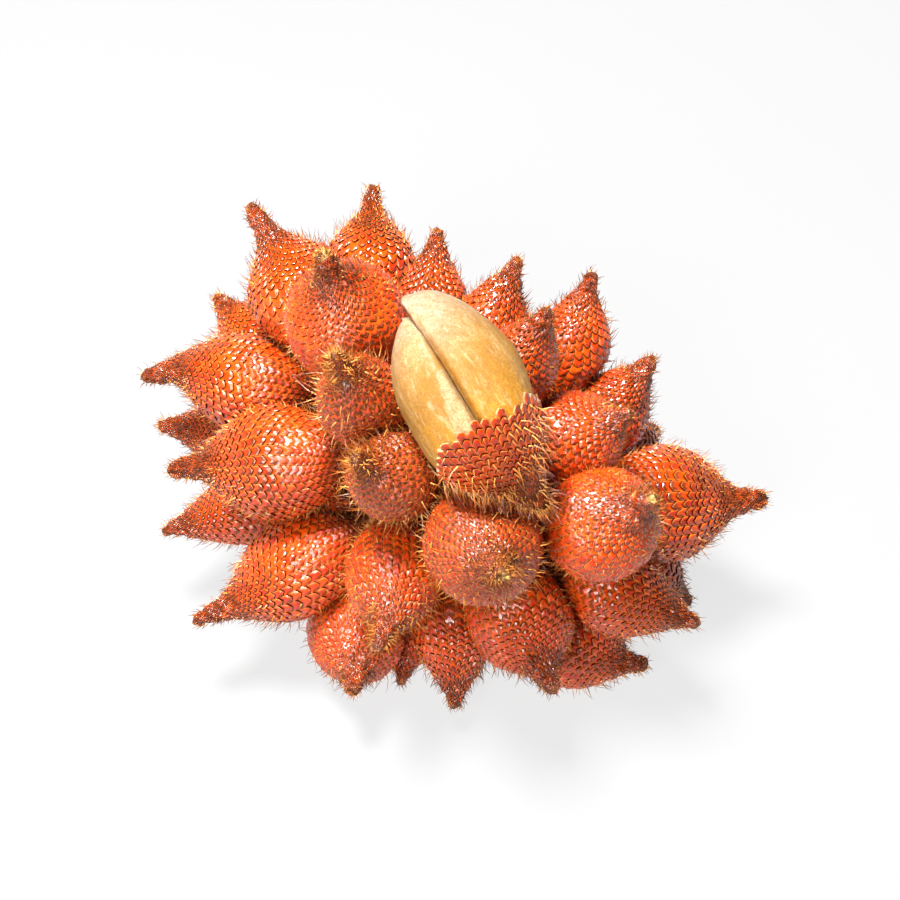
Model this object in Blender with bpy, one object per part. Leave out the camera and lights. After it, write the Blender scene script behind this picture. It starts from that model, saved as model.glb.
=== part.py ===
"""A picked bunch of snake fruit (salak), lying on a table, with one half-peeled fruit set in it.

The fruits grow out of one woody stalk, so every whole fruit has its root near the middle of the bunch
and its beak on the outside. The bunch is laid out in its own frame: U runs to the right across the
broad face of the bunch, V runs up that face, and W comes straight out of it. The face is leaned back
from the vertical, and the whole bunch is then set down with its lowest fruits flattened on z = 0.
"""

import math

import bmesh
import bpy
import numpy as np

MM = 0.001

# Driving dimensions, in millimetres and degrees.
FACE_LEAN = 50.0        # how far the normal of the broad face is raised from the horizontal
FLOOR_DROP = 71.5       # from the middle of the stalk's head down to the table
GAP = 0.36              # between two fruits that press on each other
SEGMENTS = 12           # vertices around a fruit
PRESS_SHARPNESS = 14.0  # how sharply a fruit's side turns into the flat where a neighbour presses it
SHORTEST_RADIUS = 0.9   # no ray of a pressed fruit is shorter than this

# A fruit's radius, as a share of its largest, along its length from the root to the tip of the beak.
RING_STATIONS = np.array([0.03, 0.10, 0.20, 0.32, 0.45, 0.59, 0.70, 0.79, 0.86, 0.94, 0.985])
ROUND_RADII = np.array([0.28, 0.54, 0.77, 0.94, 1.00, 0.90, 0.64, 0.37, 0.22, 0.16, 0.10])
TAPERED_RADII = np.array([0.28, 0.55, 0.78, 0.95, 1.00, 0.86, 0.66, 0.47, 0.31, 0.18, 0.10])
HOOK_START = 0.70       # where along the fruit its beak begins to bend

# Whole fruits: tip and root (U, V, W), greatest width, how tapered (0 round, 1 conical), and how far
# the tip is bent away from the straight line of the fruit (U, V, W).
STRAIGHT = (0, 0, 0)
FACE_FRUITS = {
    "fruit_01": ((-74, 92, 0), (-44, 39, -15), 39, 0.0, (-3, 4, 0)),
    "fruit_02": ((-31, 104, -34), (-33, 43, -27), 35, 0.0, STRAIGHT),
    "fruit_03": ((-44, 68, 62), (-34, 33, 2), 42, 0.0, (-2, 2, 0)),
    "fruit_04": ((-92, 63, -42), (-62, 28, -40), 30, 0.7, STRAIGHT),
    "fruit_05": ((-115, 29, -8), (-51, 22, -14), 36, 0.3, (-4, -7, 0)),
    "fruit_06": ((-113, 13, -36), (-55, 6, -46), 33, 0.5, STRAIGHT),
    "fruit_07": ((-102, -4, 10), (-35, 0, 12), 41, 0.1, (-2, -2, 0)),
    "fruit_08": ((-109, -27, -22), (-50, -10, -38), 29, 1.0, STRAIGHT),
    "fruit_09": ((-94, -58, 4), (-31, -25, -8), 36, 0.2, (-4, 0, 0)),
    "fruit_10": ((-39, 34, 78), (-27, 10, 20), 30, 0.3, (-2, 2, 0)),
    "fruit_11": ((-33, 1, 74), (-13, -9, 24), 31, 0.3, (-2, 1, 0)),
    "fruit_12": ((-27, -63, 50), (-21, -24, -3), 34, 0.3, (-5, -2, 0)),
    "fruit_13": ((-36, -82, 16), (-35, -47, -42), 38, 0.0, STRAIGHT),
    "fruit_14": ((-20, -83, -14), (-12, -43, -42), 25, 0.8, STRAIGHT),
    "fruit_15": ((0, -90, 0), (0, -40, -22), 31, 0.9, STRAIGHT),
    "fruit_16": ((15, -36, 88), (6, -23, 20), 40, 0.1, (2, -1, 0)),
    "fruit_17": ((34, -80, 28), (15, -37, -12), 39, 0.2, STRAIGHT),
    "fruit_18": ((71, -75, -10), (27, -61, -28), 34, 0.2, (2, 3, 0)),
    "fruit_19": ((86, -58, 15), (37, -39, -2), 32, 0.7, STRAIGHT),
    "fruit_20": ((91, -55, -46), (53, -35, -26), 34, 0.4, STRAIGHT),
    "fruit_21": ((64, -12, 70), (38, -29, 18), 39, 0.1, STRAIGHT),
    "fruit_22": ((114, -14, -5), (48, -17, -10), 43, 0.0, (2, 1, 0)),
    "fruit_23": ((59, 16, 46), (27, 0, 8), 34, 0.6, STRAIGHT),
    "fruit_24": ((72, 37, 0), (45, 2, -28), 31, 1.0, (2, 2, 0)),
    "fruit_25": ((80, 12, -62), (51, -3, -36), 33, 0.3, STRAIGHT),
    "fruit_26": ((49, 67, 6), (37, 18, -25), 29, 0.6, STRAIGHT),
    "fruit_27": ((31, 50, 55), (13, 16, 12), 28, 0.8, STRAIGHT),
    "fruit_28": ((23, 71, 14), (7, 29, -9), 29, 1.0, (3, 2, 0)),
    "fruit_29": ((-6, 84, -4), (-10, 34, -18), 29, 1.0, (1, 3, 0)),
}
# Fruits on the side away from the broad face and under the bunch.
BACK_FRUITS = {
    "fruit_30": ((-73, -38, -58), (-32, -26, -36), 37, 0.3, STRAIGHT),
    "fruit_31": ((-76, 17, -78), (-32, 2, -48), 39, 0.2, STRAIGHT),
    "fruit_32": ((-24, 17, -101), (-12, -6, -57), 39, 0.1, STRAIGHT),
    "fruit_33": ((38, 17, -98), (19, -7, -56), 40, 0.2, STRAIGHT),
    "fruit_34": ((-56, 58, -72), (-29, 26, -36), 40, 0.3, STRAIGHT),
    "fruit_35": ((-4, 66, -76), (-2, 28, -34), 38, 0.4, STRAIGHT),
    "fruit_36": ((51, 57, -61), (27, 22, -30), 37, 0.3, STRAIGHT),
    "fruit_37": ((10, -32, -64), (4, -18, -32), 34, 0.2, STRAIGHT),
    "fruit_38": ((-5, 20, 45), (-7, 14, 4), 26, 0.3, STRAIGHT),
    "fruit_39": ((64, 28, -82), (34, 3, -47), 31, 0.3, STRAIGHT),
    "fruit_40": ((22, 68, -36), (11, 29, -23), 29, 0.5, STRAIGHT),
}
# How firmly each kind holds its shape: the softer of two takes more of the flat between them.
FACE_FIRMNESS, BACK_FIRMNESS, OPEN_FIRMNESS = 1.0, 0.25, 30.0

# The half-peeled fruit: the top of its bare flesh and the tip of its beak (U, V, W), its greatest
# width, its beak's bend, and its radius along its length from the top of the flesh to the beak's tip.
OPEN_TOP, OPEN_TIP, OPEN_WIDTH, OPEN_BEND = (-16, 50, 72), (30, -16, 64), 43.5, (4.5, 2.5, 0)
OPEN_STATIONS = np.array([0.0, 0.06, 0.16, 0.31, 0.50, 0.61, 0.70, 0.79, 0.86, 0.92, 0.97, 1.0])
OPEN_RADII = np.array([0.43, 0.64, 0.77, 0.94, 1.00, 0.97, 0.84, 0.61, 0.38, 0.22, 0.15, 0.08])
SKIN_THICKNESS = 1.3
CUP_SEGMENTS = 20
CUP_INSIDE_END = 0.88   # where the flesh and the hollow of the skin end
CUP_OUTSIDE_END = 0.985  # where the beak's rounded tip begins
CUP_OUTSIDE_SHARES = (1.0, 0.88, 0.72, 0.55, 0.36, 0.18, 0.0)
CUP_INSIDE_SHARES = (0.0, 0.35, 0.7, 1.0)
# Where the torn edge of the skin runs, at the front, right, rear and left of the half-peeled fruit.
TORN_EDGE = (0.567, 0.605, 0.60, 0.655)
TEAR_DEPTH = 0.008      # how far each tooth of the torn edge reaches, as a share of the length

# Lobes of flesh: middle direction and half angle in degrees (0 is the front, 90 the right), where the
# lobe starts, and how blunt its top is (the share of its radius that it has there).
LOBES = {
    "flesh_right": (62, 62, 0.0, 0.50),
    "flesh_left": (-62, 62, 0.05, 0.22),
    "flesh_rear": (180, 56, 0.12, 0.30),
}
LOBE_SEGMENTS = 12
LOBE_STATIONS = (0.01, 0.05, 0.14, 0.30, 0.48, 0.66, 0.80, 0.92)
LOBE_END_RISE = 0.7     # how far a lobe's ends stand past its last rings
LOBE_GAP = 0.5
LOBE_SHARPNESS = 7.0
FLESH_CLEARANCE = 0.75  # from the hollow of the skin to the flesh in it

# The stalk: a head in the middle of the bunch, a branch to each root, and a cut stump at the back.
HEAD_RADII = (34, 18, 15)
HEAD_MIDDLE = (1, 0, -13)
BRANCH_RADIUS, BRANCH_END_RADIUS = 3.6, 1.9
BRANCH_START = 0.7      # how far out in the head each branch begins
ROOT_GAP = 2.4
STUMP_END, STUMP_RADIUS = (4, 26, -71), 6.5


def clear_scene():
    for item in list(bpy.data.objects):
        bpy.data.objects.remove(item)


def to_world(point):
    """A point of the bunch's frame as (x, y, z), still measured from the middle of the core."""
    u, v, w = point
    lean = math.radians(FACE_LEAN)
    return np.array([u, v * math.sin(lean) - w * math.cos(lean), v * math.cos(lean) + w * math.sin(lean)])


def unit(vector):
    return vector / np.linalg.norm(vector)


def across(direction, reference=(0.0, 0.0, 1.0)):
    """Two unit vectors square to a direction, the second one as near to the reference as it can be."""
    reference = np.array(reference)
    if abs(direction @ reference) > 0.98:
        reference = np.array([0.0, 1.0, 0.0])
    side = unit(np.cross(reference, direction))
    return side, np.cross(direction, side)


def material(name, colour, roughness):
    made = bpy.data.materials.new(name)
    made.use_nodes = True
    shader = made.node_tree.nodes["Principled BSDF"]
    shader.inputs["Base Color"].default_value = (*colour, 1.0)
    shader.inputs["Roughness"].default_value = roughness
    return made


def add_piece(name, points, faces, finish):
    """One closed mesh object, from points in millimetres."""
    mesh = bpy.data.meshes.new(name)
    mesh.from_pydata([tuple(p * MM) for p in points], [], faces)
    shape = bmesh.new()
    shape.from_mesh(mesh)
    bmesh.ops.recalc_face_normals(shape, faces=shape.faces)
    if shape.calc_volume(signed=True) < 0:
        bmesh.ops.reverse_faces(shape, faces=shape.faces)
    shape.to_mesh(mesh)
    shape.free()
    mesh.materials.append(finish)
    mesh.shade_smooth()
    piece = bpy.data.objects.new(name, mesh)
    bpy.context.scene.collection.objects.link(piece)
    return piece


def lofted(rings, first_pole, last_pole):
    """Points and faces of a closed skin over equal rings, with a pole at each end."""
    count = len(rings[0])
    points = [first_pole] + [p for ring in rings for p in ring] + [last_pole]
    faces = []
    for k in range(count):
        after = (k + 1) % count
        faces.append((0, 1 + after, 1 + k))
        for r in range(len(rings) - 1):
            low, high = 1 + r * count, 1 + (r + 1) * count
            faces.append((low + k, low + after, high + after, high + k))
        end = 1 + (len(rings) - 1) * count
        faces.append((end + k, end + after, len(points) - 1))
    return points, faces


class Fruit:
    """The line that a fruit is built around, and its radius along that line."""

    def __init__(self, name, tip, root, width, stations, radii, bend, firmness):
        self.name = name
        self.root = to_world(root)
        self.bend = to_world(bend)
        self.straight_end = to_world(tip) - self.bend
        self.width = width
        self.stations = stations
        self.radii = radii
        self.firmness = firmness
        self.planes = []

    def middle(self, t):
        """The point of the fruit's curved line at t, from 0 at the root to 1 at the tip."""
        bent = max(0.0, (t - HOOK_START) / (1 - HOOK_START)) ** 2
        return self.root + (self.straight_end - self.root) * t + self.bend * bent

    def radius(self, t):
        return self.width / 2 * np.interp(t, self.stations, self.radii)

    def ring_frame(self, t):
        along = unit(self.middle(min(1.0, t + 0.02)) - self.middle(t - 0.02))
        return across(along)

    def samples(self):
        steps = np.linspace(0.0, 1.0, 41)
        return np.array([self.middle(t) for t in steps]), np.array([self.radius(t) for t in steps])


def whole_fruits():
    fruits = []
    for table, firmness in ((FACE_FRUITS, FACE_FIRMNESS), (BACK_FRUITS, BACK_FIRMNESS)):
        for name, (tip, root, width, tapered, bend) in table.items():
            radii = ROUND_RADII * (1 - tapered) + TAPERED_RADII * tapered
            fruits.append(Fruit(name, tip, root, width, RING_STATIONS, radii, bend, firmness))
    return fruits


def directions_over_sphere(count=500):
    """Directions spread evenly over a sphere."""
    k = np.arange(count)
    height = 1 - (2 * k + 1) / count
    turn = k * math.pi * (3 - math.sqrt(5))
    flat = np.sqrt(1 - height**2)
    return np.stack([flat * np.cos(turn), flat * np.sin(turn), height], axis=1)


def press_together(first, second):
    """Gives both fruits the plane between them that flattens them least, where they would overlap."""
    middles_a, radii_a = first.samples()
    middles_b, radii_b = second.samples()
    normals = directions_over_sphere()
    spread = 0.12
    for _ in range(7):
        reach_a = (normals @ middles_a.T + radii_a).max(axis=1)
        start_b = (normals @ middles_b.T - radii_b).min(axis=1)
        best = int(np.argmin(reach_a - start_b))
        normal, reach, start = normals[best], reach_a[best], start_b[best]
        if reach - start + GAP <= 0:
            return
        near = normal + spread * directions_over_sphere(60)
        normals = np.vstack([normal, near / np.linalg.norm(near, axis=1)[:, None]])
        spread *= 0.55
    share = second.firmness / (first.firmness + second.firmness)
    cut = reach - (reach - start) * share
    first.planes.append((normal, cut - GAP / 2))
    second.planes.append((-normal, -(cut + GAP / 2)))


def pressed_radius(free, start, outward, planes):
    """The length of a ray that keeps smoothly inside every plane."""
    limits = [free]
    for normal, offset in planes:
        slope = outward @ normal
        if slope > 1e-6:
            limits.append(max((offset - start @ normal) / slope, SHORTEST_RADIUS))
    return sum(limit**-PRESS_SHARPNESS for limit in limits) ** (-1 / PRESS_SHARPNESS)


def set_on_table(point, start):
    """Moves a point that is below the table back along its ray, up to the table."""
    if point[2] >= -FLOOR_DROP:
        return point
    moved = start + (point - start) * (start[2] + FLOOR_DROP) / (start[2] - point[2])
    moved[2] = -FLOOR_DROP
    return moved


def fruit_rings(fruit):
    rings = []
    for t in fruit.stations:
        start = fruit.middle(t)
        side, up = fruit.ring_frame(t)
        ring = []
        for k in range(SEGMENTS):
            angle = math.tau * k / SEGMENTS
            outward = side * math.cos(angle) + up * math.sin(angle)
            reach = pressed_radius(fruit.radius(t), start, outward, fruit.planes)
            ring.append(set_on_table(start + outward * reach, start))
        rings.append(ring)
    return rings


def add_fruit(fruit, finish, shift):
    points, faces = lofted(fruit_rings(fruit), fruit.middle(0.0), fruit.middle(1.0))
    add_piece(fruit.name, [p + shift for p in points], faces, finish)


def opened_fruit():
    return Fruit("open", OPEN_TIP, OPEN_TOP, OPEN_WIDTH, OPEN_STATIONS, OPEN_RADII, OPEN_BEND,
                 OPEN_FIRMNESS)


def open_frame(fruit):
    """The opened fruit's own front (out of the broad face) and right."""
    along = unit(fruit.straight_end - fruit.root)
    face = to_world((0, 0, 1))
    front = unit(face - along * (face @ along))
    return front, np.cross(front, along)


def torn_edge(angle):
    """Where the skin of the half-peeled fruit ends, at an angle from its front towards its right."""
    corners = np.array([*TORN_EDGE, TORN_EDGE[0]])
    return float(np.interp(math.degrees(angle) % 360, (0, 90, 180, 270, 360), corners))


def cup_ring(fruit, share, inset, end):
    """One ring of the skin cup, at a share of the way from its torn edge to a given end."""
    front, right = open_frame(fruit)
    ring = []
    for k in range(CUP_SEGMENTS):
        angle = math.tau * k / CUP_SEGMENTS
        edge = torn_edge(angle) + TEAR_DEPTH * (-1) ** k
        t = edge + (end - edge) * share
        outward = front * math.cos(angle) + right * math.sin(angle)
        ring.append(fruit.middle(t) + outward * (fruit.radius(t) - inset))
    return ring


def add_cup(fruit, finish, shift):
    """The skin cup: its outside from the beak up to the torn edge, then its inside down again."""
    outside = [cup_ring(fruit, share, 0.0, CUP_OUTSIDE_END) for share in CUP_OUTSIDE_SHARES]
    inside = [cup_ring(fruit, share, SKIN_THICKNESS, CUP_INSIDE_END) for share in CUP_INSIDE_SHARES]
    bottom = fruit.middle(CUP_INSIDE_END + 0.01)
    points, faces = lofted(outside + inside, fruit.middle(1.0), bottom)
    add_piece("open_skin", [p + shift for p in points], faces, finish)


def flesh_radius(fruit, t, start, bluntness):
    """How far the flesh reaches from the opened fruit's line, with rounded ends."""
    full = fruit.radius(t) - (SKIN_THICKNESS + FLESH_CLEARANCE)
    top = bluntness + (1 - bluntness) * min(1.0, (t - start) / 0.16) ** 0.5
    return full * top


def lobe_ring(fruit, t, lobe):
    middle_angle, half_angle, start, bluntness = lobe
    front, right = open_frame(fruit)
    heading, half = math.radians(middle_angle), math.radians(half_angle)
    outer = flesh_radius(fruit, t, start, bluntness)
    offset = 0.55 * outer
    middle = np.array([offset, 0.0])
    ring = []
    for k in range(LOBE_SEGMENTS):
        angle = math.tau * k / LOBE_SEGMENTS
        ray = np.array([math.cos(angle), math.sin(angle)])
        facing = middle @ ray
        limits = [math.sqrt(facing**2 + outer**2 - offset**2) - facing]
        for side in (1, -1):
            slope = -ray[0] * math.sin(half) + side * ray[1] * math.cos(half)
            if slope > 1e-6:
                limits.append((offset * math.sin(half) - LOBE_GAP / 2) / slope)
        reach = sum(limit**-LOBE_SHARPNESS for limit in limits) ** (-1 / LOBE_SHARPNESS)
        flat = middle + ray * reach
        ahead = front * math.cos(heading) + right * math.sin(heading)
        aside = -front * math.sin(heading) + right * math.cos(heading)
        ring.append(fruit.middle(t) + ahead * flat[0] + aside * flat[1])
    return ring


def add_lobe(name, lobe, fruit, finish, shift):
    start = lobe[2]
    rings = [lobe_ring(fruit, start + (CUP_INSIDE_END - start) * share, lobe) for share in LOBE_STATIONS]
    along = unit(fruit.straight_end - fruit.root)
    first = np.mean(rings[0], axis=0) - along * LOBE_END_RISE
    last = np.mean(rings[-1], axis=0) + along * LOBE_END_RISE
    points, faces = lofted(rings, first, last)
    add_piece(name, [p + shift for p in points], faces, finish)


def cone(start, end, start_radius, end_radius, count):
    along = unit(end - start)
    side, up = across(along)
    rings = []
    for middle, radius in ((start, start_radius), (end, end_radius)):
        angles = [math.tau * k / count for k in range(count)]
        rings.append([middle + (side * math.cos(a) + up * math.sin(a)) * radius for a in angles])
    return lofted(rings, start, end)


def ball(middle, radii, rows=8, count=12):
    rings = []
    for r in range(1, rows):
        slope = math.pi * r / rows
        angles = [math.tau * k / count for k in range(count)]
        rings.append([to_world((middle[0] - radii[0] * math.cos(slope),
                                middle[1] + radii[1] * math.sin(slope) * math.cos(a),
                                middle[2] + radii[2] * math.sin(slope) * math.sin(a))) for a in angles])
    return lofted(rings, to_world((middle[0] - radii[0], *middle[1:])),
                  to_world((middle[0] + radii[0], *middle[1:])))


def head_size(offset):
    """How large the head would have to be to reach an offset from its middle (1 is its own size)."""
    lean = math.radians(FACE_LEAN)
    up_face = offset[1] * math.sin(lean) + offset[2] * math.cos(lean)
    off_face = offset[2] * math.sin(lean) - offset[1] * math.cos(lean)
    return math.hypot(offset[0] / HEAD_RADII[0], up_face / HEAD_RADII[1], off_face / HEAD_RADII[2])


def add_stalk(fruits, finish, shift):
    """The head of the stalk, joined with a branch to each root and with the cut stump."""
    points, faces = ball(HEAD_MIDDLE, HEAD_RADII)
    head = add_piece("stalk", [p + shift for p in points], faces, finish)
    pieces = []
    for fruit in fruits:
        reach = fruit.root - to_world(HEAD_MIDDLE)
        start = to_world(HEAD_MIDDLE) + reach * BRANCH_START / head_size(reach)
        end = fruit.root - unit(fruit.straight_end - fruit.root) * ROOT_GAP
        pieces.append(cone(start, end, BRANCH_RADIUS, BRANCH_END_RADIUS, 6))
    pieces.append(cone(to_world(HEAD_MIDDLE), to_world(STUMP_END), STUMP_RADIUS, STUMP_RADIUS, 10))
    for k, (cone_points, cone_faces) in enumerate(pieces):
        branch = add_piece(f"branch_{k:02d}", [p + shift for p in cone_points], cone_faces, finish)
        branch.hide_render = True
        branch.display_type = "WIRE"
        join = head.modifiers.new(f"join_{k:02d}", "BOOLEAN")
        join.operation = "UNION"
        join.solver = "EXACT"
        join.object = branch


def shift_to_origin(fruits):
    """The shift that puts the bunch's box over the origin, with the table at z = 0."""
    points = np.array([p for fruit in fruits for ring in fruit_rings(fruit) for p in ring]
                      + [fruit.middle(1.0) for fruit in fruits])
    low, high = points.min(axis=0), points.max(axis=0)
    return np.array([-(low[0] + high[0]) / 2, -(low[1] + high[1]) / 2, FLOOR_DROP])


def main():
    clear_scene()
    skin = material("snake_fruit_skin", (0.52, 0.11, 0.03), 0.45)
    flesh = material("snake_fruit_flesh", (0.87, 0.70, 0.38), 0.4)
    wood = material("woody_stalk", (0.20, 0.11, 0.06), 0.8)
    fruits = whole_fruits()
    opened = opened_fruit()
    for index, first in enumerate(fruits + [opened]):
        for second in (fruits + [opened])[index + 1:]:
            press_together(first, second)
    shift = shift_to_origin(fruits)
    for fruit in fruits:
        add_fruit(fruit, skin, shift)
    add_cup(opened, skin, shift)
    for name, lobe in LOBES.items():
        add_lobe(name, lobe, opened, flesh, shift)
    add_stalk(fruits, wood, shift)


main()
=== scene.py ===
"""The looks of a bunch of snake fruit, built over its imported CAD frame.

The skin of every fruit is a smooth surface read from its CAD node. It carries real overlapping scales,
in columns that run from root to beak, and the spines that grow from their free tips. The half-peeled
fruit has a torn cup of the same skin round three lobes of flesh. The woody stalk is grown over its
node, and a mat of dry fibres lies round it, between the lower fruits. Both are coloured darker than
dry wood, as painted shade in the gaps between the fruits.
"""

import math

import bmesh
import bpy
import numpy as np
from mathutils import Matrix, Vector
from mathutils.bvhtree import BVHTree


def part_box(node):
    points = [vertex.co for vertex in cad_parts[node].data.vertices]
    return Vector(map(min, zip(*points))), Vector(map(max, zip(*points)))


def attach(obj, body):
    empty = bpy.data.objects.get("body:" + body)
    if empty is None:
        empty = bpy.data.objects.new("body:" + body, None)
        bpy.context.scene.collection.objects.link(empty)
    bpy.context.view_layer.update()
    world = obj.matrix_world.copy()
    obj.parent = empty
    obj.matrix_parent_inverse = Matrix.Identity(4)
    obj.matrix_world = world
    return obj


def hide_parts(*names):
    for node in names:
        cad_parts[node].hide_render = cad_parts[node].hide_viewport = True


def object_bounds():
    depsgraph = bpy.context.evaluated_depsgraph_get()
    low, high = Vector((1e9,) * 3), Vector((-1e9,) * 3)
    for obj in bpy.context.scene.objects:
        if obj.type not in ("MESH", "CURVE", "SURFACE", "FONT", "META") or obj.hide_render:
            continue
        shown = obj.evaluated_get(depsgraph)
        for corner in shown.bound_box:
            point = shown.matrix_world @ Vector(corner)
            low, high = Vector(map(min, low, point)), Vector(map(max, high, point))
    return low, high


MM = 0.001

# Scales. A column's scales are half a scale out of step with its neighbours', like bricks.
SCALE_WIDTH = 3.45 * MM  # of a column, where the fruit is widest
SCALE_PITCH = 3.25 * MM  # from one free tip to the next, where the fruit is widest
SMALLEST_PITCH = 0.50  # at the ends of a fruit, as a share of that
ROW_WANDER = 0.38  # how far rows wander along the fruit, in pitches
COLUMN_WANDER = 0.34  # how far columns wander round it, in columns
WANDER_SIZE = 10 * MM  # of the bends that this gives them
SCALE_HEIGHT = 0.23  # of a scale's crown, as a share of the pitch
SCALE_SIZES = (0.60, 1.25)  # how much lower or higher single scales are
SCALE_TILT = 0.22  # how much higher one side of a scale can be, in scale heights
PROFILE_PLACES = (0.0, 0.18, 0.46, 0.68, 0.96, 1.0)  # from a scale's free tip to the next one's
PROFILE_HEIGHTS = (0.80, 1.00, 0.80, 0.50, 0.02, 0.0)
SCALE_SIDE = 0.36  # from a column's middle to the side of its scales, in columns
GROOVE_START = 0.45  # from a column's middle to the groove beside it, in columns
COLUMN_SAMPLES = np.array([-0.5, -SCALE_SIDE, 0.0, SCALE_SIDE])  # corners across a column
ROW_SAMPLES = np.array([0.0, 0.18, 0.46, 0.50, 0.68, 0.96])  # corners along a pitch
POINTEDNESS = 0.36  # how far its sides trail behind its free tip, in pitches
OVERHANG = 0.06  # how far a free tip reaches over the next scale, in pitches
SIDE_DROP = 0.15  # how much lower a scale is near its sides, in scale heights
GROOVE_DROP = 0.12  # how deep the groove between columns is, in scale heights
SCALES_LOST_ON_BEAK = 0.25  # the share of their height lost at the tip
SKIN_ROUGHNESS = 0.07 * MM
BEAK_ROUGHNESS = 0.42 * MM
TUFT_ROUGHNESS = 0.55 * MM  # on the dry yellow tip of some fruits
FIRST_SCALES = 0.4  # where they start, in rows from the root
LAST_SCALES = 0.25  # where they end, in rows from the tip of the beak
EASING = 2  # over how many rows they rise at both ends
WANDER_EASING = 4  # over how many rows they start to wander
# How slim a fruit is, as a share of its widest girth, where its beak and its root end begin and
# where they are full.
BEAK_GIRTHS = (0.75, 0.25)
ROOT_GIRTHS = (0.92, 0.45)

SKIN_VALUES = ("beak", "tuft", "root", "along_spine", "fruit", "brown")  # that its materials read

# Spines. Their chance and their length in mm start at a least value, and change with how sheltered
# the place is, with how near it is to the shoulder or the beak of its fruit, and with the node.
SPINE_STATIONS = np.array([0.0, 0.4, 0.75, 1.0])
SPINE_RADIUS = 0.23 * MM
SPINE_SIDES = 3
SPINE_CHANCE = {"least": 0.14, "sheltered": 0.66, "shoulder": 0.10, "beak": -0.38, "hair": 0.5}
SPINE_LENGTH = {"least": 1.2, "sheltered": 2.1, "shoulder": 0.8, "beak": -2.0, "hair": 4.2}

# Fruits whose beaks end in a dry yellow tuft, and how strongly.
YELLOW_TIPS = {"fruit_03": 1.0, "fruit_05": 0.6, "fruit_16": 0.9, "fruit_21": 1.0}
USUAL_YELLOW = 0.15
TUFT_ROWS = 2.4  # how many rows of scales it covers
# Nodes that carry more and longer spines than the usual 1.
HAIRY = {"fruit_03": 1.1, "fruit_10": 2.0, "fruit_11": 1.7, "fruit_12": 1.5, "fruit_16": 1.35,
         "fruit_21": 1.1, "open_skin": 1.6}
# Nodes whose skin has dried to a browner colour, and how strongly; below 0 it is fresher.
BROWNED = {"fruit_10": 0.6, "fruit_11": 1.0, "fruit_16": 0.7, "open_skin": -0.35}

SHARP_ANGLE = 48  # in degrees, between faces that meet at a crisp edge
RIPPLE_WAVES = 6  # that smooth noise is the sum of
RIPPLE_PEAK = 3.2  # that the sum hardly ever passes

LOBES = ("flesh_left", "flesh_rear", "flesh_right")
LOBE_GRID = (130, 96)  # rings along a lobe and corners round it
LOBE_SWELL = 0.25 * MM  # how far each lobe is swollen
SEAM_SWELL = 1.1 * MM  # how much more where it faces the others, so that they meet
LOBE_WAVES = ((0.12 * MM, 7 * MM), (0.06 * MM, 2.5 * MM))  # height and size of its unevenness
TOP_RISE = {"flesh_right": 1.8 * MM}  # how much further a lobe's blunt top reaches up its length
BULGE = {"flesh_right": 4.2 * MM}  # how much broader a lobe's outer side is than its CAD node
BULGE_TOWARDS = np.array([0.90, 0.34, 0.28])
WEDGE_LOBE = "flesh_left"  # has a pale wedge beside the seam, from its middle down to the peel
WEDGE_TOP = 0.31  # how far down the flesh it starts, as a share of its length
WEDGE_SPREAD = 27 * MM  # how fast it widens, over the length of the flesh

# The peel of the half-peeled fruit.
FRONT_RAISE = 1.5  # how many scales further the peel reaches on the broad face
TORN_RISE = 0.6 * MM  # how far the membrane stands out of the torn edge
PEEL_THICKNESS = 0.6 * MM
CUP_EDGE_RING = 5  # the torn edge's ring in the CAD node
CUP_STEPS = 80  # steps that the outside is first followed in
CUP_RINGS = 20  # rings that it is read at
CUP_TOP_ROOM = 9 * MM  # how far they reach past the torn edge
CUP_SPARE = 24 * MM  # how far the outside is carried on past it
CUP_FRUIT = 0.35  # its own number for the colours of its scales, which other fruits draw
CUP_YELLOW = 0.3

# The map that is baked: the skin fills it up to a height, and over it are strips for the others.
SKIN_TOP = 0.92
MEMBRANE_STRIP = 0.922
MEMBRANE_STEPS = (0.004, 0.006)  # how much higher every other row is, and the inner face
SPINE_STRIP = (0.935, 0.06)  # its lower edge and its height
SPINE_BANDS = 8

# The mat of dry fibres round the stalk, a dark sheet of painted shade in the gaps between the lower fruits.
MAT_RADIUS = 48 * MM
MAT_HEIGHT = 24 * MM
MAT_WAVES = (4 * MM, 14 * MM)  # height and size
MAT_STEP = 1.6 * MM
MAT_THICKNESS = 2.2 * MM

# Out of the broad face of the bunch, which has been handled most.
BROAD_FACE = np.array([0.0, -math.cos(math.radians(50)), math.sin(math.radians(50))])

# The world: how high directions are, as the sine of their elevation, and how bright it is.
BACKDROP_TOP = 0.20
CEILING_START = 0.30
BACKDROP_BRIGHTNESS = 0.58
CEILING_BRIGHTNESS = 0.04

FLOOR_HALF = 15.0
LIGHTS = {  # place, size and power of each
    "key": ((-0.24, 0.05, 1.15), 0.34, 38),
    "front": ((-0.36, -0.85, 0.82), 0.5, 15),
}

# Camera: the direction it looks from and how far it is from the place that it looks at.
CAMERA_ELEVATION = 50.0
CAMERA_DISTANCE = 0.650
CAMERA_LENS = 72.2
FRAMING = Vector((-0.0013, -0.0061, -0.0077))  # from the middle of the CAD box to that place

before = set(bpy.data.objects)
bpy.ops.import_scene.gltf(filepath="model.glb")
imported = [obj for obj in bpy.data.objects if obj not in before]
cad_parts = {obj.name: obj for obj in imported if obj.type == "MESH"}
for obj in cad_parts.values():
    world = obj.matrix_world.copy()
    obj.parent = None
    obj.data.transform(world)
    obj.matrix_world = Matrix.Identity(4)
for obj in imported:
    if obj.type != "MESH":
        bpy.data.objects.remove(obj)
cad_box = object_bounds()
bunch_middle = (cad_box[0] + cad_box[1]) / 2
fruits = sorted(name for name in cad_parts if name.startswith("fruit_"))


# ---- small helpers

def unit(vectors):
    return vectors / np.maximum(np.linalg.norm(vectors, axis=-1, keepdims=True), 1e-12)


def smoothstep(low, high, value):
    t = np.clip((value - low) / (high - low), 0, 1)
    return t * t * (3 - 2 * t)


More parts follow.
